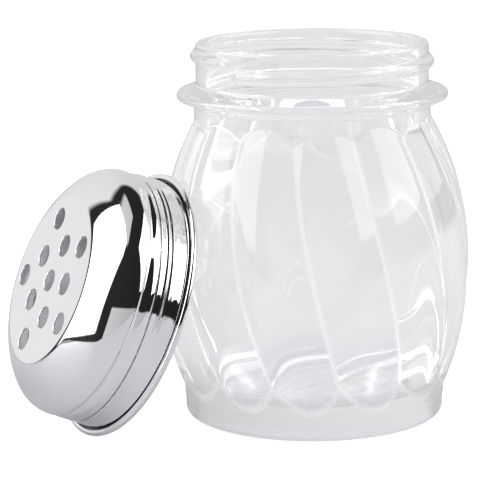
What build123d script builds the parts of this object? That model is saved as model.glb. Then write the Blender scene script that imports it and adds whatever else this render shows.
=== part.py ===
from build123d import *
import math
import os

# Cheese shaker, taken apart: a swirled glass jar stands on the table, and its perforated
# screw lid leans against it. Millimetres, +Z up, origin at the centre of the jar's base.
# The lid's axis lies in the XZ plane and its perforated face looks towards -X.

# Jar body: a barrel of swirled convex lobes with sharp creases between them
lobe_count = 13
belly_radius = 37.4
belly_height = 36.0
barrel_arc_radius = 72.0
belly_crease_depth = 1.2
base_crease_depth = 2.1
shoulder_crease_depth = 1.65
swirl_turn = -23.3
swirl_bow = -3.2
first_crease_angle = -101.8
loft_steps = 12

# Jar base, wall and neck
base_radius = 30.9
heel_radius = 1.5
floor_thickness = 7.0
floor_corner_radius = 5.0
neck_blend_radius = 8.0
wall_thickness = 2.2
neck_radius = 28.0
mouth_radius = 25.2
jar_height = 89.3
rim_rounding_share = 0.42

# Stop flange under the thread, where the lid's rim comes to rest
flange_radius = 32.0
flange_thickness = 4.9
flange_edge_radius = 1.0
finish_height = 10.0
finish_radius = 27.5

# Screw thread, right-handed, one start
thread_crest_radius = 28.75
thread_bead_radius = 1.5
thread_pitch = 3.175
thread_turns = 1.05
thread_start_drop = 6.0
thread_start_angle = -165.0

# Lid: one thin pressed sheet with a curled hem
sheet_thickness = 0.45
thread_clearance = 0.3
lid_height = 21.2
hem_bead_radius = 1.3
hem_overhang = 2.4
waist_height = 9.5
waist_depth = 0.4
dome_swell = 0.15
dome_corner_radius = 8.0
face_radius = 20.2
face_edge_slope = 18.5
lid_groove_radius = 1.25
lid_groove_depth = 0.9
lid_thread_turns = 0.7
lid_thread_start_height = 6.0
lid_thread_start_angle = -14.0

# Pouring holes: one in the middle and two rings of five
hole_radius = 2.6
ring_hole_count = 5
inner_ring_radius = 9.0
outer_ring_radius = 15.3
hole_pattern_angle = 6.1

# How the lid leans on the jar
lean_angle = 22.0
lean_offset = 5.4
lean_gap = 0.0

# Heights and radii that follow from the sizes above
finish_base = jar_height - finish_height
flange_base = finish_base - flange_thickness
rim_rounding = rim_rounding_share * (finish_radius - mouth_radius)
skirt_radius = thread_crest_radius + thread_clearance + sheet_thickness
hem_centre_radius = skirt_radius + hem_overhang - hem_bead_radius


def crest_radius(height):
    """Radius of the lobes' crests, which follow one arc from the base to the neck."""
    reach = math.sqrt(barrel_arc_radius**2 - (height - belly_height) ** 2)
    return belly_radius - barrel_arc_radius + reach


def height_of_crest(radius, side):
    """Height at which the crests have this radius, above (1) or below (-1) the belly."""
    reach = barrel_arc_radius - belly_radius + radius
    return belly_height + side * math.sqrt(barrel_arc_radius**2 - reach**2)


# The lobed barrel runs a little into the base ring and into the neck
barrel_bottom = max(heel_radius, height_of_crest(base_radius - 1.0, -1))
barrel_top = height_of_crest(neck_radius - 1.0, 1)


def crease_angle(height):
    """Direction of the first crease: an even turn from bottom to top, bowed in the middle."""
    share = (height - barrel_bottom) / (barrel_top - barrel_bottom)
    return first_crease_angle + swirl_turn * share + 4 * swirl_bow * share * (1 - share)


def crease_depth(height):
    """The creases are shallow at the belly and deeper towards both ends."""
    above = height > belly_height
    end = barrel_top if above else barrel_bottom
    end_depth = shoulder_crease_depth if above else base_crease_depth
    share = ((height - belly_height) / (end - belly_height)) ** 2
    return belly_crease_depth + (end_depth - belly_crease_depth) * share


def polar(radius, angle, height):
    turn = math.radians(angle)
    return (radius * math.cos(turn), radius * math.sin(turn), height)


def lobed_section(height):
    """One level of the barrel: an arc over each lobe, from crease to crease."""
    crest = crest_radius(height)
    crease = crest - crease_depth(height)
    pitch = 360 / lobe_count
    start = crease_angle(height)
    arcs = []
    for lobe in range(lobe_count):
        left = start + lobe * pitch
        arcs.append(
            ThreePointArc(
                polar(crease, left, height),
                polar(crest, left + pitch / 2, height),
                polar(crease, left + pitch, height),
            )
        )
    return Face(Wire(arcs))


def lobed_barrel():
    levels = [
        barrel_bottom + (barrel_top - barrel_bottom) * step / loft_steps
        for step in range(loft_steps + 1)
    ]
    return loft([lobed_section(height) for height in levels])


def revolved(outline):
    """Turn a closed outline of (radius, height) edges about the Z axis."""
    face = Plane.XZ * make_face(outline)
    return revolve(face, Axis.Z, 360)


def closed_rings(form):
    """The full circles of a turned form, from the lowest to the highest."""
    return form.edges().filter_by(lambda edge: edge.is_closed).sort_by(Axis.Z)


def base_ring():
    ring_top = (barrel_bottom + belly_height) / 2
    ring = Pos(0, 0, ring_top / 2) * Cylinder(base_radius, ring_top)
    return fillet(closed_rings(ring)[0], heel_radius)


def neck_and_flange():
    """The neck rises out of the barrel, carries the flange and ends in the rim."""
    neck_bottom = (barrel_top + belly_height) / 2
    edge_height = flange_base + flange_thickness / 2
    edge_start = flange_radius - flange_edge_radius
    outline = [
        Line((0, neck_bottom), (neck_radius, neck_bottom)),
        Line((neck_radius, neck_bottom), (neck_radius, flange_base)),
        Line((neck_radius, flange_base), (edge_start, edge_height - flange_edge_radius)),
        ThreePointArc(
            (edge_start, edge_height - flange_edge_radius),
            (flange_radius, edge_height),
            (edge_start, edge_height + flange_edge_radius),
        ),
        Line((edge_start, edge_height + flange_edge_radius), (finish_radius, finish_base)),
        Line((finish_radius, finish_base), (finish_radius, jar_height)),
        Line((finish_radius, jar_height), (0, jar_height)),
        Line((0, jar_height), (0, neck_bottom)),
    ]
    neck = revolved(outline)
    return fillet(closed_rings(neck)[-1], rim_rounding)


def jar_cavity():
    """The inside follows the barrel at the wall's thickness, without the lobes."""
    inner_belly = belly_radius - belly_crease_depth - wall_thickness
    arc = barrel_arc_radius - belly_crease_depth - wall_thickness
    floor_rise = belly_height - floor_thickness
    floor_radius = inner_belly - arc + math.sqrt(arc**2 - floor_rise**2)
    neck_rise = math.sqrt(arc**2 - (arc - inner_belly + mouth_radius) ** 2)
    belly = (inner_belly, belly_height)
    neck = (mouth_radius, belly_height + neck_rise)
    floor = (floor_radius, floor_thickness)
    above = jar_height + wall_thickness
    outline = [
        Line((0, floor_thickness), floor),
        RadiusArc(floor, belly, -arc),
        RadiusArc(belly, neck, -arc),
        Line(neck, (mouth_radius, above)),
        Line((mouth_radius, above), (0, above)),
        Line((0, above), (0, floor_thickness)),
    ]
    cavity = revolved(outline)
    cavity = fillet(closed_rings(cavity)[0], floor_corner_radius)
    return fillet(closed_rings(cavity)[-2], neck_blend_radius)


def helical_bead(centre_radius, bead_radius, turns, start_height, start_angle):
    """A round bead along the thread's helix, with ball ends."""
    rise = thread_pitch * turns
    turned = Pos(0, 0, start_height) * Rot(0, 0, start_angle)
    path = turned * Helix(thread_pitch, rise, centre_radius)
    section = Plane(origin=path @ 0, z_dir=path % 0) * Circle(bead_radius)
    bead = sweep(section, path=path, is_frenet=True)
    for end in (path @ 0, path @ 1):
        bead += Pos(*end) * Sphere(bead_radius)
    return bead


def make_jar():
    glass = lobed_barrel() + base_ring() + neck_and_flange()
    glass += helical_bead(
        thread_crest_radius - thread_bead_radius,
        thread_bead_radius,
        thread_turns,
        jar_height - thread_start_drop,
        thread_start_angle,
    )
    glass -= jar_cavity()
    rim_edges = closed_rings(glass).group_by(Axis.Z)[-1]
    return fillet(rim_edges.sort_by(SortBy.RADIUS)[0], rim_rounding)


def lid_form(inset):
    """The lid's outer form, or its hollow when inset by the sheet's thickness."""
    joint_slope = 45.0
    flat = math.radians(face_edge_slope)
    joint = math.radians(joint_slope)
    dome_radius = skirt_radius + dome_swell
    corner_width = dome_corner_radius * (1 - math.sin(joint))
    crown_arc = (dome_radius - face_radius - corner_width) / (math.sin(joint) - math.sin(flat))
    crown_x = face_radius - crown_arc * math.sin(flat)
    crown_z = lid_height - crown_arc * math.cos(flat)
    corner_x = dome_radius - dome_corner_radius
    corner_z = crown_z + (crown_arc - dome_corner_radius) * math.cos(joint)

    def on_crown(slope):
        arc = crown_arc - inset
        return (crown_x + arc * math.sin(slope), crown_z + arc * math.cos(slope))

    def on_corner(slope):
        arc = dome_corner_radius - inset
        return (corner_x + arc * math.sin(slope), corner_z + arc * math.cos(slope))

    skirt = skirt_radius - inset
    waist = (skirt - waist_depth, waist_height)
    shoulder = on_corner(math.pi / 2)
    skirt_top = (skirt, waist_height - (shoulder[1] - waist_height) / 2)
    bottom = hem_bead_radius if inset == 0 else -hem_bead_radius
    face_edge = on_crown(flat)
    outline = [
        Line((0, bottom), (skirt, bottom)),
        Line((skirt, bottom), skirt_top),
        Line(skirt_top, waist),
        Line(waist, shoulder),
        ThreePointArc(shoulder, on_corner((joint + math.pi / 2) / 2), on_corner(joint)),
        ThreePointArc(on_corner(joint), on_crown((joint + flat) / 2), face_edge),
        Line(face_edge, (0, face_edge[1])),
        Line((0, face_edge[1]), (0, bottom)),
    ]
    return revolved(outline)


def pouring_holes():
    drill = Cylinder(hole_radius, lid_height)
    holes = Pos(0, 0, lid_height) * drill
    step = 360 / ring_hole_count
    for hole in range(ring_hole_count):
        inner = polar(inner_ring_radius, hole_pattern_angle + hole * step, lid_height)
        outer = polar(outer_ring_radius, hole_pattern_angle + (hole + 0.5) * step, lid_height)
        holes += Pos(*inner) * drill
        holes += Pos(*outer) * drill
    return holes


def make_lid():
    """The lid upright, with the bottom of its hem at height 0."""
    outside = lid_form(0)
    hem = Pos(0, 0, hem_bead_radius) * Torus(hem_centre_radius, hem_bead_radius)
    groove_centre = skirt_radius + lid_groove_radius - lid_groove_depth
    run = (lid_thread_turns, lid_thread_start_height, lid_thread_start_angle)
    groove = helical_bead(groove_centre, lid_groove_radius, *run)
    inner_bead = helical_bead(groove_centre, lid_groove_radius + sheet_thickness, *run)
    hollow = lid_form(sheet_thickness) - inner_bead
    return outside + hem - groove - hollow - pouring_holes()


def leaning_place():
    """Where the lid stands: hem on the table, its upper edge a gap away from the crests."""
    lean = math.radians(lean_angle)
    rise = hem_bead_radius + hem_centre_radius * math.cos(lean)
    reach = barrel_arc_radius + hem_bead_radius + lean_gap
    back = math.inf
    for turn in range(-60, 61):
        around = math.radians(turn)
        aside = lean_offset - hem_centre_radius * math.sin(around)
        height = rise + hem_centre_radius * math.cos(lean) * math.cos(around)
        over = height - belly_height
        clear = belly_radius - barrel_arc_radius + math.sqrt(reach**2 - over**2)
        forward = hem_centre_radius * math.sin(lean) * math.cos(around)
        back = min(back, -math.sqrt(clear**2 - aside**2) - forward)
    axis = (-math.cos(lean), 0, math.sin(lean))
    base = Vector(back, lean_offset, rise) - Vector(*axis) * hem_bead_radius
    return Plane(origin=base, x_dir=(0, -1, 0), z_dir=axis)


jar = make_jar()
lid = leaning_place().location * make_lid()

os.makedirs("parts", exist_ok=True)
export_step(jar, "parts/jar.step")
export_step(lid, "parts/lid.step")
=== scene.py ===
import bmesh
import bpy
import math
from mathutils import Matrix, Vector

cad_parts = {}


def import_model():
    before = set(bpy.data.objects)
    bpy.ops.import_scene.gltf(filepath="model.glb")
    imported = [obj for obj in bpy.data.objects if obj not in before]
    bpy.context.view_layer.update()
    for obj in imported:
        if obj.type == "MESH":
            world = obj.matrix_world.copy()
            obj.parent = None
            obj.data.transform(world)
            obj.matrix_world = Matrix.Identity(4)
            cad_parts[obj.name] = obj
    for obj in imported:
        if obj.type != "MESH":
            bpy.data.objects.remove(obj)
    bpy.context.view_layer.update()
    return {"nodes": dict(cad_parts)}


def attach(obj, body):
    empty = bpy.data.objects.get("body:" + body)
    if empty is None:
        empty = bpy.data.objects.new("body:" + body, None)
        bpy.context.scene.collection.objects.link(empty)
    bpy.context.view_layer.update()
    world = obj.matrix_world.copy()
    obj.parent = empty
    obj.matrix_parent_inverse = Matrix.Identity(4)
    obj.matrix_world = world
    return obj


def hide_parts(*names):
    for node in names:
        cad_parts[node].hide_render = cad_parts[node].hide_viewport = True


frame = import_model()
print("frame loaded, nodes:", sorted(frame["nodes"]))

mm = 0.001
scene = bpy.context.scene


def smoothMax(one, other, blend):
    overlap = max(blend - abs(one - other), 0.0) / blend
    return max(one, other) + overlap * overlap * blend / 4


def smoothStep(value):
    value = min(max(value, 0.0), 1.0)
    return value * value * (3 - 2 * value)


def spread(low, high, count):
    return [low + (high - low) * step / count for step in range(count)]


# A turned outline: corners are (radius, height, fillet), and each fillet becomes an arc.
# Straight stretches are cut into pieces no longer than the step.
def roundedPath(corners, step, arcSteps=6):
    path = []
    for place, (radius, height, fillet) in enumerate(corners):
        here = Vector((radius, height))
        if fillet > 0:
            before = (Vector(corners[place - 1][:2]) - here).normalized()
            after = (Vector(corners[place + 1][:2]) - here).normalized()
            half = before.angle(after) / 2
            reach = fillet / math.tan(half)
            centre = here + (before + after).normalized() * fillet / math.sin(half)
            start = here + before * reach - centre
            end = here + after * reach - centre
            swing = start.angle_signed(end)
            for turn in range(arcSteps + 1):
                path.append(centre + Matrix.Rotation(-swing * turn / arcSteps, 2) @ start)
        else:
            path.append(here)
    full = [path[0]]
    for point in path[1:]:
        gap = (point - full[-1]).length
        if gap < 1e-6:
            continue
        pieces = max(1, math.ceil(gap / step))
        last = full[-1]
        full += [last.lerp(point, piece / pieces) for piece in range(1, pieces + 1)]
    return [(point.x, point.y) for point in full]


# A closed skin from rows of points, each row once round the axis
def skinFromRows(name, rows, lowCap=None, highCap=None):
    count = len(rows[0])
    points = [point for row in rows for point in row]
    faces = []
    for row in range(len(rows) - 1):
        for column in range(count):
            after = (column + 1) % count
            base = row * count
            faces.append((base + column, base + after, base + count + after, base + count + column))
    if lowCap is not None:
        points.append(lowCap)
        tip = len(points) - 1
        faces += [(tip, (column + 1) % count, column) for column in range(count)]
    if highCap is not None:
        points.append(highCap)
        tip = len(points) - 1
        base = (len(rows) - 1) * count
        faces += [(tip, base + column, base + (column + 1) % count) for column in range(count)]
    mesh = bpy.data.meshes.new(name)
    mesh.from_pydata([Vector(point) * mm for point in points], [], faces)
    mesh.validate()
    mesh.shade_smooth()
    piece = bpy.data.objects.new(name, mesh)
    scene.collection.objects.link(piece)
    return piece


# The glass jar, in millimetres: a swirled, lobed barrel on a plain ring, with a threaded neck
jar = {
    "lobes": 13,
    "bellyRadius": 37.4,
    "bellyHeight": 36.0,
    "barrelArc": 72.0,
    "bellyCrease": 1.2,
    "baseCrease": 2.7,
    "shoulderCrease": 1.65,
    "barrelBottom": 4.004,
    "barrelTop": 73.275,
    "firstCreaseAngle": -101.8,
    "swirlTurn": -23.3,
    "swirlBow": -3.2,
    "creaseSoftness": 0.22,
    "baseRadius": 30.9,
    "baseFlare": 0.45,
    "baseFlareHeight": 6.5,
    "undersideRows": (4.0, 10.0, 16.0, 22.0, 26.0, 28.5),
    "heelRadius": 1.5,
    "footSoftness": 0.18,
    "neckRadius": 28.0,
    "neckSoftness": 0.4,
    "bendZone": 1.4,
    "flangeLead": 0.9,
    "flangeBase": 74.4,
    "flangeRadius": 32.05,
    "flangeTip": 0.8,
    "flangeRounding": 0.9,
    "flangeFillet": 0.8,
    "finishBase": 79.3,
    "finishRadius": 27.5,
    "height": 89.3,
    "rimRounding": 1.05,
    "mouthRadius": 25.2,
    "mouthRows": (88.0, 87.0, 85.0, 83.0, 81.0, 79.0, 77.0, 75.5),
    "wall": 2.2,
    "floor": 7.0,
    "floorRows": (21.0, 17.0, 12.0, 7.0, 3.0),
    "floorCorner": 6.5,
    "neckBlend": 8.0,
    "innerLobe": 0.25,
    "innerLobeFrom": (9.0, 34.0),
    "innerLobeTo": (44.0, 71.0),
    "threadCentre": 27.25,
    "threadBead": 1.5,
    "threadPitch": 3.175,
    "threadTurns": 1.05,
    "threadStart": 83.3,
    "threadStartAngle": -165.0,
    "threadFadeIn": 14.0,
    "threadFadeOut": 30.0,
    "threadEndBead": 0.35,
    "threadEndSink": 0.8,
    "threadSoftness": 0.35,
    # widths and strengths of the mould lines, used for their frosting and their painted sheen
    "creaseLine": 0.7,
    "creaseLineStrength": 1.5,
    "creaseLineFrom": (1.2, 3.2),
    "creaseLineTo": (66.0, 72.0),
    "footLine": 1.3,
    "footLineLift": 0.1,
    "footLineStrength": 1.8,
}


# The crests of the lobes follow one arc from the base to the neck
def crestRadius(height):
    reach = math.sqrt(jar["barrelArc"] ** 2 - (height - jar["bellyHeight"]) ** 2)
    return jar["bellyRadius"] - jar["barrelArc"] + reach


# The creases lie least deep at the belly
def creaseDepth(height):
    above = height > jar["bellyHeight"]
    end = jar["barrelTop"] if above else jar["barrelBottom"]
    endDepth = jar["shoulderCrease"] if above else jar["baseCrease"]
    share = ((height - jar["bellyHeight"]) / (end - jar["bellyHeight"])) ** 2
    return jar["bellyCrease"] + (endDepth - jar["bellyCrease"]) * share


# The creases wind round the barrel, with a slight bow
def creaseAngle(height):
    height = min(max(height, jar["barrelBottom"]), jar["barrelTop"])
    share = (height - jar["barrelBottom"]) / (jar["barrelTop"] - jar["barrelBottom"])
    bow = 4 * jar["swirlBow"] * share * (1 - share)
    return jar["firstCreaseAngle"] + jar["swirlTurn"] * share + bow


# One lobe is an arc from crease to crease, and the share says how far across it a point is
def lobeRadius(share, height):
    crest = crestRadius(height)
    crease = crest - creaseDepth(height)
    half = math.pi / jar["lobes"]
    centre = (crest**2 - crease**2) / (2 * (crest - crease * math.cos(half)))
    aside = (share - 0.5) * 2 * half
    inside = (crest - centre) ** 2 - (centre * math.sin(aside)) ** 2
    return centre * math.cos(aside) + math.sqrt(max(inside, 0.0))


def barrelRadius(share, height):
    neighbour = share - 1 if share > 0.5 else share + 1
    return smoothMax(lobeRadius(share, height), lobeRadius(neighbour, height), jar["creaseSoftness"])


# Where a column of the barrel narrows to a radius, between the belly and one end
def meetingHeight(share, radius, end):
    low, high = sorted((jar["bellyHeight"], end))
    risesUp = barrelRadius(share, high) > barrelRadius(share, low)
    for _ in range(30):
        middle = (low + high) / 2
        if (barrelRadius(share, middle) < radius) == risesUp:
            low = middle
        else:
            high = middle
    return (low + high) / 2


# How far out the thread's bead reaches here, or 0 where there is none
def jarThread(angle, height):
    rise = jar["threadPitch"] / 360
    best = 0.0
    around = (angle - jar["threadStartAngle"]) % 360
    for along in (around, around + 360):
        left = jar["threadTurns"] * 360 - along
        fade = smoothStep(along / jar["threadFadeIn"]) * smoothStep(left / jar["threadFadeOut"])
        if fade <= 0:
            continue
        over = height - jar["threadStart"] - rise * along
        bead = jar["threadBead"] * (jar["threadEndBead"] + (1 - jar["threadEndBead"]) * fade)
        if abs(over) < bead:
            sink = (1 - fade) * jar["threadBead"] * jar["threadEndSink"]
            best = max(best, jar["threadCentre"] - sink + math.sqrt(bead**2 - over**2))
    return best


# Where the columns of points stand across one lobe, closer together at its creases
def lobeShares():
    left = [0.0, 0.008, 0.018, 0.032, 0.055, 0.085]
    left += [0.12, 0.16, 0.2, 0.24, 0.28, 0.32, 0.36, 0.4, 0.435, 0.47]
    return left + [0.5] + [1 - share for share in reversed(left[1:])]


# The inside, from under the rim down the wall and in across the floor
def cavityPath():
    innerBelly = jar["bellyRadius"] - jar["bellyCrease"] - jar["wall"]
    arc = jar["barrelArc"] - jar["bellyCrease"] - jar["wall"]
    axisSide = innerBelly - arc

    def wallAt(height):
        return axisSide + math.sqrt(arc**2 - (height - jar["bellyHeight"]) ** 2)

    # the round between neck and barrel touches both
    blend = jar["neckBlend"]
    neckCentre = jar["mouthRadius"] + blend
    neckCentreHeight = jar["bellyHeight"] + math.sqrt((arc + blend) ** 2 - (neckCentre - axisSide) ** 2)
    neckTurn = math.asin((neckCentreHeight - jar["bellyHeight"]) / (arc + blend))
    # the round between barrel and floor touches both
    corner = jar["floorCorner"]
    cornerHeight = jar["floor"] + corner
    cornerCentre = axisSide + math.sqrt((arc - corner) ** 2 - (jar["bellyHeight"] - cornerHeight) ** 2)
    cornerTurn = math.asin((jar["bellyHeight"] - cornerHeight) / (arc - corner))
    path = [(jar["mouthRadius"], height) for height in jar["mouthRows"][1:]]
    for step in range(9):
        turn = neckTurn * step / 8
        path.append((neckCentre - blend * math.cos(turn), neckCentreHeight - blend * math.sin(turn)))
    top = path[-1][1]
    bottom = cornerHeight - corner * math.sin(cornerTurn)
    for step in range(1, 40):
        height = top + (bottom - top) * step / 40
        path.append((wallAt(height), height))
    for step in range(13):
        turn = cornerTurn + (math.pi / 2 - cornerTurn) * step / 12
        path.append((cornerCentre + corner * math.cos(turn), cornerHeight - corner * math.sin(turn)))
    path += [(radius, jar["floor"]) for radius in jar["floorRows"]]
    return path


# The mould's lobes show softly inside too
def innerLobe(height):
    start, full = jar["innerLobeFrom"]
    fade, end = jar["innerLobeTo"]
    grown = smoothStep((height - start) / (full - start))
    return jar["innerLobe"] * grown * smoothStep((end - height) / (end - fade))


# The plain ring at the foot widens a little up to the scallops
def ringRadius(height):
    share = (height - jar["heelRadius"]) / jar["baseFlareHeight"]
    return jar["baseRadius"] + jar["baseFlare"] * smoothStep(share)


# A point of one column, which is a lobe and the share of the way across it
def ringPoint(column, radius, height):
    lobe, share = column
    angle = math.radians(creaseAngle(height) + (lobe + share) * 360 / jar["lobes"])
    return (radius * math.cos(angle), radius * math.sin(angle), height)


# From the middle of the flat underside, out and up round the heel
def heelPath():
    flat = jar["baseRadius"] - jar["heelRadius"]
    path = [(radius, 0.0) for radius in (*jar["undersideRows"], flat)]
    for step in range(1, 8):
        turn = math.pi / 2 * step / 8
        path.append((flat + jar["heelRadius"] * math.sin(turn), jar["heelRadius"] * (1 - math.cos(turn))))
    return path


# One column of the outside as (height, radius), with more points where the barrel meets ring and neck
def barrelColumn(share, foot):
    neck = meetingHeight(share, jar["neckRadius"], jar["barrelTop"])
    bend = jar["bendZone"]
    heights = spread(jar["heelRadius"], foot - bend, 5)
    heights += spread(foot - bend, foot + bend, 14)
    heights += spread(foot + bend, neck - bend, 64)
    heights += spread(neck - bend, neck + bend, 12)
    heights += [neck + bend]
    column = []
    for height in heights:
        reach = barrelRadius(share, max(height, jar["barrelBottom"]))
        if height < jar["bellyHeight"]:
            reach = smoothMax(reach, ringRadius(height), jar["footSoftness"])
        else:
            reach = smoothMax(reach, jar["neckRadius"], jar["neckSoftness"])
        column.append((height, reach))
    return column


# How strongly the mould's line shows here, along each crease and round each scallop: it frosts the glass
# rougher and also carries a painted sheen
def mouldFrostAndSheen(share, height, feet):
    around = min(share, 1 - share) * 2 * math.pi / jar["lobes"] * crestRadius(height)
    onCrease = 1 - around / jar["creaseLine"]
    start, full = (feet[0.0] + lift for lift in jar["creaseLineFrom"])
    fade, end = jar["creaseLineTo"]
    onCrease *= smoothStep((height - start) / (full - start)) * smoothStep((end - height) / (end - fade))
    onFoot = 1 - abs(height - feet[share] - jar["footLineLift"]) / jar["footLine"]
    strength = max(jar["creaseLineStrength"] * onCrease, jar["footLineStrength"] * onFoot, 0.0)
    return min(strength, 1.0)


# Neck, stop flange and threaded finish, up over the rim and into the mouth
def finishPath():
    tipHeight = (jar["flangeBase"] + jar["finishBase"]) / 2
    outline = [
        (jar["neckRadius"], jar["flangeBase"] - jar["flangeLead"], 0),
        (jar["neckRadius"], jar["flangeBase"], jar["flangeFillet"]),
        (jar["flangeRadius"], tipHeight - jar["flangeTip"], jar["flangeRounding"]),
        (jar["flangeRadius"], tipHeight + jar["flangeTip"], jar["flangeRounding"]),
        (jar["finishRadius"], jar["finishBase"], jar["flangeFillet"]),
        (jar["finishRadius"], jar["height"], jar["rimRounding"]),
        (jar["mouthRadius"], jar["height"], jar["rimRounding"]),
        (jar["mouthRadius"], jar["mouthRows"][0], 0),
    ]
    return roundedPath(outline, 0.2)


# The bead of the thread blends into one level of the finish
def raiseThread(row, radius):
    soft = jar["threadSoftness"]
    for column, (x, y, height) in enumerate(row):
        bead = jarThread(math.degrees(math.atan2(y, x)), height)
        if bead > radius - soft:
            stretch = smoothMax(radius, bead, soft) / radius
            row[column] = (x * stretch, y * stretch, height)


def makeJar():
    columns = [(lobe, share) for lobe in range(jar["lobes"]) for share in lobeShares()]

    def ring(radius, height):
        return [ringPoint(column, radius, height) for column in columns]

    rows = [ring(radius, height) for radius, height in heelPath()]
    widest = jar["baseRadius"] + jar["baseFlare"]
    feet = {share: meetingHeight(share, widest, jar["barrelBottom"]) for share in lobeShares()}
    barrel = {share: barrelColumn(share, feet[share]) for share in feet}
    markedFrom = len(rows) * len(columns)
    strengths = []
    for level in range(len(barrel[0.0])):
        row = []
        for column in columns:
            share = column[1]
            height, radius = barrel[share][level]
            row.append(ringPoint(column, radius, height))
            strengths.append(mouldFrostAndSheen(share, height, feet))
        rows.append(row)
    for radius, height in finishPath():
        row = ring(radius, height)
        underRim = jar["finishBase"] < height < jar["height"] - jar["rimRounding"]
        if underRim and radius > (jar["mouthRadius"] + jar["finishRadius"]) / 2:
            raiseThread(row, radius)
        rows.append(row)
    for radius, height in cavityPath():
        swell = innerLobe(height) if radius > jar["mouthRadius"] else 0.0
        row = []
        for column in columns:
            bulge = swell * (0.5 - 0.5 * math.cos(2 * math.pi * column[1]))
            row.append(ringPoint(column, radius + bulge, height))
        rows.append(row)
    piece = skinFromRows("jarGlass", rows, lowCap=(0, 0, 0), highCap=(0, 0, jar["floor"]))
    marks = piece.data.attributes.new("mouldFrostAndSheen", "FLOAT", "POINT")
    for point, strength in enumerate(strengths, markedFrom):
        marks.data[point].value = strength
    return piece


# The screw lid, in millimetres, built upright on its open rim and then leaned on the jar
lid = {
    "height": 21.2,
    "sheet": 0.45,
    "skirtRadius": 29.6,
    "domeRadius": 29.5,
    "domeCorner": 7.1,
    "domeJoint": 45.0,
    "faceRadius": 20.2,
    "faceSlope": 18.5,
    "faceRounding": 3.8,
    "waistRadius": 29.15,
    "waistHeight": 11.1,
    "waistRounding": 0.8,
    "stepFoot": 9.5,
    "stepRounding": 4.0,
    "flareTop": 4.6,
    "flare": 0.4,
    "flareRounding": 5.0,
    "hemRadius": 31.81,
    "hemHeight": 1.7,
    "hemFoot": 1.5,
    "hemRounding": (1.02, 0.66),
    "hemInnerRounding": 1.1,
    "seamRadius": 30.5,
    "seamFloor": 0.8,
    "seamRounding": (0.25, 0.1),
    "seamShadeBand": (0.5, 1.6),
    "sharpBend": 0.45,
    "sharpBendByFlat": 0.08,
    "threadStages": ((0.85, 0.3, 0.25), (0.3, -0.3, -0.24), (-0.3, -0.85, 0.25)),
    "threadPitch": 6.35,
    "threadTurns": 0.45,
    "threadStart": 5.3,
    "threadStartAngle": -18.0,
    "threadFade": 26.0,
    "creaseDepth": 0.1,
    "creaseReach": 0.3,
    "creaseShadeWidth": 0.15,
    "creaseShadeFade": 0.3,
    "creaseHeight": 7.85,
    "creaseRise": 0.0205,
    "creaseEnds": (-78.0, 84.0),
    "creaseFade": 20.0,
    "holeRadius": 2.6,
    "holeEdge": 0.14,
    "holeRings": ((9.0, 6.1), (15.3, 42.1)),
    "holesInRing": 5,
    "holeColumns": 56,
    "lean": 22.0,
    "place": (-45.527, 5.4, 29.185),
    "columns": 360,
}


# The domed side from the face's edge down to its widest point, moved in by the inset
def domePath(inset):
    flat = math.radians(lid["faceSlope"])
    joint = math.radians(lid["domeJoint"])
    domeRadius = lid["domeRadius"]
    cornerWidth = lid["domeCorner"] * (1 - math.sin(joint))
    crown = (domeRadius - lid["faceRadius"] - cornerWidth) / (math.sin(joint) - math.sin(flat))
    crownX = lid["faceRadius"] - crown * math.sin(flat)
    crownZ = lid["height"] - crown * math.cos(flat)
    edge = lid["faceRounding"]
    edgeZ = lid["height"] - edge
    edgeX = crownX + math.sqrt((crown - edge) ** 2 - (edgeZ - crownZ) ** 2)
    edgeSlope = math.atan2(edgeX - crownX, edgeZ - crownZ)
    cornerX = domeRadius - lid["domeCorner"]
    cornerZ = crownZ + (crown - lid["domeCorner"]) * math.cos(joint)
    path = []
    for x, z, arc, start, end, steps in (
        (edgeX, edgeZ, edge, 0.0, edgeSlope, 8),
        (crownX, crownZ, crown, edgeSlope, joint, 18),
        (cornerX, cornerZ, lid["domeCorner"], joint, math.pi / 2, 22),
    ):
        for step in range(steps):
            slope = start + (end - start) * step / steps
            path.append((x + (arc - inset) * math.sin(slope), z + (arc - inset) * math.cos(slope)))
    return path, (domeRadius - inset, cornerZ)


# The rolled thread shows outside as a low ridge over a shallow groove
def lidThread(angle, height):
    around = (angle - lid["threadStartAngle"]) % 360
    left = lid["threadTurns"] * 360 - around
    fade = smoothStep(around / lid["threadFade"]) * smoothStep(left / lid["threadFade"])
    over = height - lid["threadStart"] - lid["threadPitch"] * around / 360
    swell = sum(rise * smoothStep((top - over) / (top - low)) for top, low, rise in lid["threadStages"])
    return swell * fade * smoothStep((height - lid["hemHeight"]) / (lid["flareTop"] - lid["hemHeight"]))


# A fine pressed line that climbs round the front of the skirt: its depth, and whether the painted shade of
# its groove lies there
def lidCrease(angle, height):
    around = (angle + 180) % 360 - 180
    start, end = lid["creaseEnds"]
    fade = smoothStep((around - start) / lid["creaseFade"]) * smoothStep((end - around) / lid["creaseFade"])
    over = abs(height - lid["creaseHeight"] - lid["creaseRise"] * around)
    depth = lid["creaseDepth"] * fade * max(1 - over / lid["creaseReach"], 0.0)
    return depth, fade > lid["creaseShadeFade"] and over < lid["creaseShadeWidth"]


# The lid's own axis points away from the jar and up, as it leans there in the frame
def lidLocation():
    lean = math.radians(lid["lean"])
    across = Vector((0, -1, 0))
    axis = Vector((-math.cos(lean), 0, math.sin(lean)))
    upward = axis.cross(across)
    turned = Matrix((across, upward, axis)).transposed().to_4x4()
    return Matrix.Translation(Vector(lid["place"]) * mm) @ turned


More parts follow.
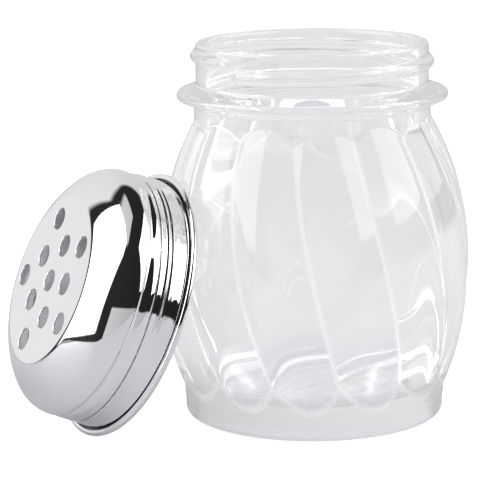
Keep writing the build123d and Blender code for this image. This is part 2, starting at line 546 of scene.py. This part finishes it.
# The sheet's two sides as one outline: down the inside, round the hem and up the outside
def lidPath():
    outerDome, outerEnd = domePath(0.0)
    innerDome, innerEnd = domePath(lid["sheet"])
    skirt = lid["skirtRadius"]
    waist = lid["waistRadius"]
    hem = lid["hemRadius"]
    seam = lid["seamRadius"]
    sheet = lid["sheet"]
    flared = skirt + lid["flare"]
    inside = [
        (*innerEnd, 0),
        (waist - sheet, lid["waistHeight"], lid["waistRounding"]),
        (skirt - sheet, lid["stepFoot"], lid["stepRounding"]),
        (skirt - sheet, 0.0, lid["hemInnerRounding"]),
        (hem - lid["hemFoot"], 0.0, 0),
    ]
    outside = [
        (hem - lid["hemFoot"], 0.0, 0),
        (hem, 0.0, lid["hemRounding"][0]),
        (hem, lid["hemHeight"], lid["hemRounding"][1]),
        (seam, lid["hemHeight"], lid["seamRounding"][0]),
        (seam, lid["seamFloor"], lid["seamRounding"][1]),
        (flared, lid["seamFloor"], lid["seamRounding"][1]),
        (flared, lid["hemHeight"], 0),
        (skirt, lid["flareTop"], lid["flareRounding"]),
        (skirt, lid["stepFoot"], lid["stepRounding"]),
        (waist, lid["waistHeight"], lid["waistRounding"]),
        (*outerEnd, 0),
    ]
    return innerDome + roundedPath(inside, 0.3) + roundedPath(outside, 0.11)[1:] + outerDome[::-1]


# The outline goes round the axis, and the skirt takes its thread and its pressed line
def makeLidShell():
    skirt = lid["skirtRadius"]
    innermost = skirt - lid["sheet"] - 0.1
    rows = []
    for radius, height in lidPath():
        threaded = height > lid["hemHeight"] and innermost < radius < skirt + lid["flare"]
        outer = radius > skirt - lid["sheet"] / 2
        row = []
        for column in range(lid["columns"]):
            angle = 360 * column / lid["columns"]
            reach = radius + (lidThread(angle, height) if threaded else 0.0)
            if outer:
                reach -= lidCrease(angle, height)[0]
            turn = math.radians(angle)
            row.append((reach * math.cos(turn), reach * math.sin(turn), height))
        rows.append(row)
    return skinFromRows("lidShell", rows)


# The flat face with its round holes, each with a softened edge and a drawn-through wall
def makeLidFace():
    top = lid["height"]
    under = top - lid["sheet"]
    edge = domePath(0.0)[0][0][0]
    spots = [(0.0, 0.0)]
    for radius, first in lid["holeRings"]:
        for hole in range(lid["holesInRing"]):
            angle = math.radians(first + 360 / lid["holesInRing"] * hole)
            spots.append((radius * math.cos(angle), radius * math.sin(angle)))
    form = bmesh.new()

    def loop(x, y, radius, height, count):
        turns = [2 * math.pi * step / count for step in range(count)]
        return [
            form.verts.new(Vector((x + radius * math.cos(turn), y + radius * math.sin(turn), height)) * mm)
            for turn in turns
        ]

    def joinUp(ring):
        return [form.edges.new((ring[step - 1], ring[step])) for step in range(len(ring))]

    def rimOf(ring):
        return [form.edges.get((ring[step - 1], ring[step])) for step in range(len(ring))]

    soft = lid["holeEdge"]
    hole = lid["holeRadius"]
    steps = [(hole + soft, top)]
    for turn in (30, 60, 90):
        back = math.radians(turn)
        steps.append((hole + soft * (1 - math.sin(back)), top - soft * (1 - math.cos(back))))
    steps += [(hole, under + soft * 0.6), (hole + soft * 0.6, under)]
    outerEdges = joinUp(loop(0, 0, edge, top, lid["columns"]))
    innerEdges = joinUp(loop(0, 0, edge, under, lid["columns"]))
    for x, y in spots:
        rings = [loop(x, y, radius, height, lid["holeColumns"]) for radius, height in steps]
        for upper, lower in zip(rings, rings[1:]):
            for step in range(len(upper)):
                form.faces.new((upper[step - 1], lower[step - 1], lower[step], upper[step]))
        outerEdges += rimOf(rings[0])
        innerEdges += rimOf(rings[-1])
    for edges, way in ((outerEdges, 1), (innerEdges, -1)):
        bmesh.ops.triangle_fill(form, use_beauty=True, edges=edges, normal=(0, 0, way))
    mesh = bpy.data.meshes.new("lidFace")
    form.to_mesh(mesh)
    form.free()
    return mesh, edge


# The shading breaks where the face starts, at sharp bends and round the holes
def sharpenEdges(form, edge):
    for line in form.edges:
        onFace = all(abs(math.hypot(end.co.x, end.co.y) - edge * mm) < 1e-6 for end in line.verts)
        beside = any(abs(panel.normal.z) > 0.9999 for panel in line.link_faces)
        bend = line.calc_face_angle() if line.is_manifold else 0.0
        if onFace or bend > lid["sharpBend"] or (beside and bend > lid["sharpBendByFlat"]):
            line.smooth = False


# Which material slot a face takes: 0 bright outside, 1 dull inside, 2 dark metal painting the shade in the
# seam and the pressed line
def lidFinish(panel):
    centre = panel.calc_center_median() / mm
    reach = math.hypot(centre.x, centre.y)
    middle = Vector((0, 0, lid["height"] / 2))
    slack = 0.01
    betweenSides = lid["skirtRadius"] - 0.2
    facesIn = reach < betweenSides and panel.normal.dot(centre - middle) < 0
    if facesIn and centre.z < lid["height"] - lid["sheet"] + 5 * slack:
        return 1
    # painted shade goes into the slot under the hem's roll and along the pressed line
    inSlot = lid["skirtRadius"] + lid["flare"] - slack < reach < lid["seamRadius"] + slack
    low, high = lid["seamShadeBand"]
    if inSlot and low < centre.z < high:
        return 2
    angle = math.degrees(math.atan2(centre.y, centre.x))
    if not facesIn and reach > betweenSides and lidCrease(angle, centre.z)[1]:
        return 2
    return 0


# The shell and the pierced face become one sheet, which is then set down where the lid leans
def makeLid():
    shell = makeLidShell()
    face, edge = makeLidFace()
    form = bmesh.new()
    form.from_mesh(shell.data)
    form.from_mesh(face)
    bmesh.ops.remove_doubles(form, verts=form.verts, dist=2e-6)
    bmesh.ops.recalc_face_normals(form, faces=form.faces)
    sharpenEdges(form, edge)
    for panel in form.faces:
        panel.smooth = True
        panel.material_index = lidFinish(panel)
    form.to_mesh(shell.data)
    form.free()
    shell.name = "lidChrome"
    shell.data.transform(lidLocation())
    return shell


# A node tree, with short ways to add what the materials and the room are made of
class Graph:
    def __init__(self, tree):
        self.nodes = tree.nodes
        self.links = tree.links

    def give(self, socket, value):
        if isinstance(value, bpy.types.NodeSocket):
            self.links.new(value, socket)
        elif value is not None:
            socket.default_value = value

    def add(self, kind, values, **settings):
        node = self.nodes.new("ShaderNode" + kind)
        for name, setting in settings.items():
            setattr(node, name, setting)
        for socket, value in zip(node.inputs, values):
            self.give(socket, value)
        return node

    def maths(self, kind, *values):
        return self.add("Math", values, operation=kind).outputs["Value"]

    def vectors(self, kind, *values):
        node = self.add("VectorMath", values, operation=kind)
        return node.outputs["Value" if kind == "DOT_PRODUCT" else "Vector"]

    def heightOf(self, place):
        return self.add("SeparateXYZ", (place,)).outputs["Z"]

    def fitted(self, value, low=0.0, high=1.0, toLow=0.0, toHigh=1.0, shape="LINEAR"):
        values = (value, low, high, toLow, toHigh)
        return self.add("MapRange", values, interpolation_type=shape).outputs["Result"]

    def chosen(self, factor, low, high):
        return self.add("Mix", (factor, None, low, high)).outputs[0]

    def blended(self, factor, low, high):
        node = self.add("Mix", (), data_type="RGBA")
        self.give(node.inputs["Factor"], factor)
        for name, colour in (("A", low), ("B", high)):
            self.give(node.inputs[name], (*colour, 1) if isinstance(colour, tuple) else colour)
        return node.outputs["Result"]

    def noise(self, place, size, detail):
        node = self.add("TexNoise", ())
        for name, value in (("Vector", place), ("Scale", size), ("Detail", detail)):
            self.give(node.inputs[name], value)
        return node.outputs["Fac"]

    def bump(self, height, distance, normal=None):
        node = self.add("Bump", ())
        self.give(node.inputs["Strength"], 1.0)
        for name, value in (("Distance", distance), ("Height", height), ("Normal", normal)):
            self.give(node.inputs[name], value)
        return node.outputs["Normal"]

    def grouped(self, group, values):
        node = self.add("Group", (), node_tree=group)
        for name, value in values.items():
            self.give(node.inputs[name], value)
        return node.outputs


# Faint haze and waviness, shared by the glass and the chrome: both are scaled in metres
def makeHandlingGroup():
    group = bpy.data.node_groups.new("handlingMarks", "ShaderNodeTree")
    sizes = {"Smear Size": 40.0, "Speck Size": 900.0, "Wave Size": 120.0, "Smear Amount": 0.5}
    for name, value in sizes.items():
        socket = group.interface.new_socket(name, in_out="INPUT", socket_type="NodeSocketFloat")
        socket.default_value = value
    for name in ("Haze", "Specks", "Waves"):
        group.interface.new_socket(name, in_out="OUTPUT", socket_type="NodeSocketFloat")
    graph = Graph(group)
    enter = graph.nodes.new("NodeGroupInput").outputs
    leave = graph.nodes.new("NodeGroupOutput").inputs
    place = graph.add("TexCoord", ()).outputs["Object"]

    def noiseAt(size, detail, low, high):
        return graph.fitted(graph.noise(place, enter[size], detail), low, high)

    smear = noiseAt("Smear Size", 6.0, 0.45, 0.75)
    graph.give(leave["Haze"], graph.maths("MULTIPLY", smear, enter["Smear Amount"]))
    graph.give(leave["Specks"], noiseAt("Speck Size", 2.0, 0.68, 0.8))
    graph.give(leave["Waves"], noiseAt("Wave Size", 1.5, 0.0, 1.0))
    return group


# A new material, its node tree and the sockets of its Principled BSDF
def startMaterial(name):
    material = bpy.data.materials.new(name)
    material.use_nodes = True
    graph = Graph(material.node_tree)
    return material, graph, graph.nodes["Principled BSDF"].inputs


# Colours are linear, and the depths of bumps are in metres
glassLook = {
    "clear": (0.985, 0.985, 0.99),
    "hazy": (0.955, 0.955, 0.968),
    "ior": 1.47,
    "smoothest": 0.0,
    "roughest": 0.035,
    "waveDepth": 0.00003,
    "base": (0.87, 0.87, 0.9),
    "baseTop": 0.014,
    "baseFull": 0.002,
    "baseRoughness": 0.14,
    "baseGrain": 420.0,
    "baseGrainDepth": 0.00006,
    "lineRoughness": 0.4,
    "paintedLineSheen": 0.1,
    "lineBounces": 0.5,
    "deepBounces": 5.5,
    "deepGlow": 0.66,
    "marks": {"Smear Size": 28.0, "Speck Size": 700.0, "Wave Size": 55.0, "Smear Amount": 0.6},
}


def makeGlass(group):
    material, graph, shader = startMaterial("swirledGlass")
    shader["IOR"].default_value = glassLook["ior"]
    shader["Transmission Weight"].default_value = 1.0
    shader["Emission Strength"].default_value = 1.0
    marks = graph.grouped(group, glassLook["marks"])
    place = graph.add("TexCoord", ()).outputs["Object"]
    bounces = graph.add("LightPath", ()).outputs["Ray Depth"]
    # the heavy base is greyer, rougher and faintly mottled
    height = graph.heightOf(place)
    nearBase = graph.fitted(height, glassLook["baseTop"], glassLook["baseFull"], shape="SMOOTHSTEP")
    overall = graph.blended(marks["Haze"], glassLook["clear"], glassLook["hazy"])
    tinted = graph.blended(nearBase, overall, glassLook["base"])
    # painted glow: rays deeper than five bounces turn black in the glass, which glows the room's pale grey
    # in their place, standing in for light lost in many inner reflections
    deep = graph.maths("GREATER_THAN", bounces, glassLook["deepBounces"])
    glow = graph.fitted(deep, toHigh=glassLook["deepGlow"])
    graph.give(shader["Base Color"], graph.blended(deep, tinted, (0, 0, 0)))
    # painted sheen: the mould's lines glow faintly and are frosted rougher on the nearest wall, not in the
    # glass's own mirror images
    mould = graph.add("Attribute", (), attribute_name="mouldFrostAndSheen").outputs["Fac"]
    line = graph.maths("MULTIPLY", mould, graph.maths("LESS_THAN", bounces, glassLook["lineBounces"]))
    graph.give(shader["Emission Color"], graph.maths("MULTIPLY_ADD", line, glassLook["paintedLineSheen"], glow))
    roughness = graph.fitted(marks["Specks"], toLow=glassLook["smoothest"], toHigh=glassLook["roughest"])
    for mask, most in ((line, "lineRoughness"), (nearBase, "baseRoughness")):
        roughness = graph.maths("MULTIPLY_ADD", mask, glassLook[most], roughness)
    graph.give(shader["Roughness"], roughness)
    waves = graph.bump(marks["Waves"], glassLook["waveDepth"])
    mottle = graph.maths("MULTIPLY", graph.noise(place, glassLook["baseGrain"], 2.0), nearBase)
    graph.give(shader["Normal"], graph.bump(mottle, glassLook["baseGrainDepth"], waves))
    return material


chromeLook = {
    "bright": (0.93, 0.93, 0.945),
    "smeared": (0.87, 0.87, 0.89),
    "smoothest": 0.025,
    "roughest": 0.1,
    "waveDepth": 0.000012,
    "marks": {"Smear Size": 45.0, "Speck Size": 1100.0, "Wave Size": 140.0, "Smear Amount": 0.7},
}

insideLook = {
    "bright": (0.68, 0.68, 0.7),
    "smeared": (0.54, 0.54, 0.56),
    "smoothest": 0.36,
    "roughest": 0.55,
    "waveDepth": 0.00002,
    "marks": {"Smear Size": 80.0, "Speck Size": 1100.0, "Wave Size": 260.0, "Smear Amount": 1.0},
}

# painted shade: a dark, dull metal standing in for the shade deep in the seam and the pressed line
seamShadeLook = {
    "bright": (0.24, 0.24, 0.25),
    "smeared": (0.12, 0.12, 0.125),
    "smoothest": 0.3,
    "roughest": 0.6,
    "waveDepth": 0.00002,
    "marks": {"Smear Size": 120.0, "Speck Size": 1100.0, "Wave Size": 260.0, "Smear Amount": 1.0},
}


# Polished plating outside, the duller drawn sheet inside and a dark metal that paints the shade in the seam
# under the hem's roll
def makeMetal(name, look, group):
    material, graph, shader = startMaterial(name)
    shader["Metallic"].default_value = 1.0
    marks = graph.grouped(group, look["marks"])
    graph.give(shader["Base Color"], graph.blended(marks["Haze"], look["bright"], look["smeared"]))
    roughness = graph.fitted(marks["Haze"], toLow=look["smoothest"], toHigh=look["roughest"])
    graph.give(shader["Roughness"], roughness)
    graph.give(shader["Normal"], graph.bump(marks["Waves"], look["waveDepth"]))
    return material


# The photograph's camera, in millimetres and degrees, with the picture's size in pixels
camera = {
    "place": (-238.15, -479.30, 149.98),
    "turnRight": 24.549,
    "tiltDown": 11.459,
    "roll": -0.758,
    "focalPixels": 2279.094,
    "imagePixels": 480,
    "sensor": 36.0,
    "clip": (0.01, 20.0),
}


def addCamera():
    yaw, pitch, roll = (math.radians(camera[key]) for key in ("turnRight", "tiltDown", "roll"))
    ahead = Vector((math.sin(yaw) * math.cos(pitch), math.cos(yaw) * math.cos(pitch), -math.sin(pitch)))
    level = Vector((math.cos(yaw), -math.sin(yaw), 0))
    above = level.cross(ahead)
    right = math.cos(roll) * level + math.sin(roll) * above
    up = math.cos(roll) * above - math.sin(roll) * level
    data = bpy.data.cameras.new("photoCamera")
    data.sensor_width = camera["sensor"]
    data.lens = camera["focalPixels"] / camera["imagePixels"] * camera["sensor"]
    data.clip_start, data.clip_end = camera["clip"]
    holder = bpy.data.objects.new("photoCamera", data)
    turned = Matrix((right, up, -ahead)).transposed().to_4x4()
    holder.matrix_world = Matrix.Translation(Vector(camera["place"]) * mm) @ turned
    scene.collection.objects.link(holder)
    scene.camera = holder


# Directions in the room are turned from the side that the camera stands on, in degrees.
# Each surface has one brightness in the metal's reflections and another through the glass.
studio = {
    "cameraSide": -116.4,
    "floorFront": 0.236,
    "floorBack": 3.0,
    "floorSide": 3.0,
    "floorDrop": 0.0004,
    "floorColour": (0.7, 0.7, 0.73),
    "floorRoughness": 0.6,
    "floorSpecular": 0.2,
    "floorLift": 0.8,
    "floorGlassLift": 0.57,
    "floorGlassShare": 0.4,
    "ambient": 0.35,
    "dark": {"metal": 0.02, "glass": 0.58},
    "shade": {"metal": 0.28, "glass": 0.16},
    "surfaces": (
        {"turn": 180, "half": 54, "low": -90, "high": 50, "soft": 3, "metal": 0.7, "glass": 0.82},
        {"turn": -90, "half": 62, "low": 62, "high": 90, "soft": 3, "metal": 0.6, "glass": 0.84},
        {"turn": 14, "half": 47, "low": -90, "high": 90, "edge": ((-33, 16.5), (51, -6)), "soft": 1,
         "metal": 0.56, "glass": 0.82},
        {"turn": -79, "half": 28, "low": 2, "high": 62, "soft": 2, "metal": 1.0, "glass": 0.94},
        {"turn": 85, "half": 34, "low": 9, "high": 58, "soft": 2, "metal": 1.0, "glass": 0.94},
    ),
    "softboxCentre": (-0.03, 0.0, 0.0),
    "softboxDistance": 0.8,
    "softboxLean": 14,
    "softboxes": (
        {"name": "leftSoftbox", "turn": -79, "low": 0.035, "wide": 0.86, "tall": 1.2, "power": 6.0},
        {"name": "rightSoftbox", "turn": 85, "low": 0.17, "wide": 1.08, "tall": 0.98, "power": 5.8},
    ),
}


def roomDirection(turn, rise=0):
    angle = math.radians(studio["cameraSide"] + turn)
    lift = math.radians(rise)
    return Vector((math.cos(angle) * math.cos(lift), math.sin(angle) * math.cos(lift), math.sin(lift)))


def addFloor():
    mesh = bpy.data.meshes.new("studioFloor")
    toCamera = roomDirection(0)
    aside = roomDirection(90) * studio["floorSide"]
    down = Vector((0, 0, -studio["floorDrop"]))
    front = toCamera * studio["floorFront"] + down
    back = toCamera * -studio["floorBack"] + down
    mesh.from_pydata([front - aside, front + aside, back + aside, back - aside], [], [(0, 1, 2, 3)])
    floor = bpy.data.objects.new("studioFloor", mesh)
    scene.collection.objects.link(floor)
    material, graph, shader = startMaterial("paleFloor")
    shader["Roughness"].default_value = studio["floorRoughness"]
    shader["Specular IOR Level"].default_value = studio["floorSpecular"]
    shader["Emission Strength"].default_value = 1.0
    # what the camera and the glass see of the floor is lifted to white, shadows apart
    path = graph.add("LightPath", ()).outputs
    throughGlass = path["Is Transmission Ray"]
    lift = graph.maths("MULTIPLY", throughGlass, studio["floorGlassLift"])
    lift = graph.maths("MULTIPLY_ADD", path["Is Camera Ray"], studio["floorLift"], lift)
    graph.give(shader["Emission Color"], lift)
    weaker = tuple(shade * studio["floorGlassShare"] for shade in studio["floorColour"])
    graph.give(shader["Base Color"], graph.blended(throughGlass, studio["floorColour"], weaker))
    mesh.materials.append(material)


def addWorld():
    world = bpy.data.worlds.new("studioRoom")
    scene.world = world
    world.use_nodes = True
    graph = Graph(world.node_tree)
    background = graph.nodes["Background"].inputs
    background["Color"].default_value = (1, 1, 1, 1)
    looking = graph.add("TexCoord", ()).outputs["Generated"]
    level = graph.vectors("NORMALIZE", graph.vectors("MULTIPLY", looking, (1, 1, 0)))
    rise = graph.heightOf(looking)
    path = graph.add("LightPath", ()).outputs
    throughGlass = path["Is Transmission Ray"]

    def seenAs(values):
        return graph.chosen(throughGlass, values["metal"], values["glass"])

    def past(value, low, high):
        return graph.fitted(value, low, high, shape="SMOOTHSTEP")

    def before(value, low, high):
        return graph.fitted(value, low, high, 1.0, 0.0, "SMOOTHSTEP")

    def sine(angle):
        return math.sin(math.radians(min(max(angle, -90), 90)))

    def cosine(angle):
        return math.cos(math.radians(min(angle, 180)))

    seen = seenAs(studio["dark"])
    for part in studio["surfaces"]:
        soft = part["soft"]
        around = graph.vectors("DOT_PRODUCT", level, roomDirection(part["turn"]))
        masks = [past(around, cosine(part["half"] + soft), cosine(part["half"] - soft))]
        if part["low"] > -90:
            masks.append(past(rise, sine(part["low"] - soft), sine(part["low"] + soft)))
        if part["high"] < 90:
            masks.append(before(rise, sine(part["high"] - soft), sine(part["high"] + soft)))
        if "edge" in part:
            start, end = (roomDirection(*spot) for spot in part["edge"])
            above = graph.vectors("DOT_PRODUCT", looking, start.cross(end).normalized())
            masks.append(before(above, sine(-soft), sine(soft)))
        mask = masks[0]
        for other in masks[1:]:
            mask = graph.maths("MULTIPLY", mask, other)
        seen = graph.chosen(mask, seen, seenAs(part))
    # the room grows darker from left to right, which shows the glass's creases
    aside = graph.vectors("DOT_PRODUCT", looking, roomDirection(-90))
    shaded = graph.maths("MULTIPLY_ADD", aside, seenAs(studio["shade"]), 1.0)
    seen = graph.maths("MULTIPLY", seen, shaded)
    looked = graph.maths("MAXIMUM", path["Is Glossy Ray"], throughGlass)
    lit = graph.chosen(looked, studio["ambient"], seen)
    graph.give(background["Strength"], graph.chosen(path["Is Camera Ray"], lit, 1.0))


# A lamp that leans in over the table, its lower edge a little above it
def addSoftbox(box):
    data = bpy.data.lights.new(box["name"], "AREA")
    data.shape = "RECTANGLE"
    data.size = box["wide"]
    data.size_y = box["tall"]
    data.energy = box["power"]
    lamp = bpy.data.objects.new(box["name"], data)
    lean = math.radians(studio["softboxLean"])
    side = roomDirection(box["turn"])
    half = box["tall"] / 2
    lift = Vector((0, 0, box["low"] + half * math.cos(lean)))
    away = side * (studio["softboxDistance"] - half * math.sin(lean))
    lamp.location = Vector(studio["softboxCentre"]) + away + lift
    facing = -side * math.cos(lean) - Vector((0, 0, math.sin(lean)))
    lamp.rotation_euler = facing.to_track_quat("-Z", "Y").to_euler()
    # through the glass, the room's own pale softboxes stand in
    lamp.visible_transmission = False
    scene.collection.objects.link(lamp)


addCamera()
handling = makeHandlingGroup()
jarPiece = makeJar()
jarPiece.data.materials.append(makeGlass(handling))
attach(jarPiece, "jar")
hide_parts("jar")
print("jar built, faces:", len(jarPiece.data.polygons))

lidPiece = makeLid()
for name, look in (("brightChrome", chromeLook), ("lidInside", insideLook), ("lidSeamShade", seamShadeLook)):
    lidPiece.data.materials.append(makeMetal(name, look, handling))
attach(lidPiece, "lid")
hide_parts("lid")
print("lid built, faces:", len(lidPiece.data.polygons))

addFloor()
addWorld()
for box in studio["softboxes"]:
    addSoftbox(box)
scene.view_settings.view_transform = "Standard"
print("studio set up")
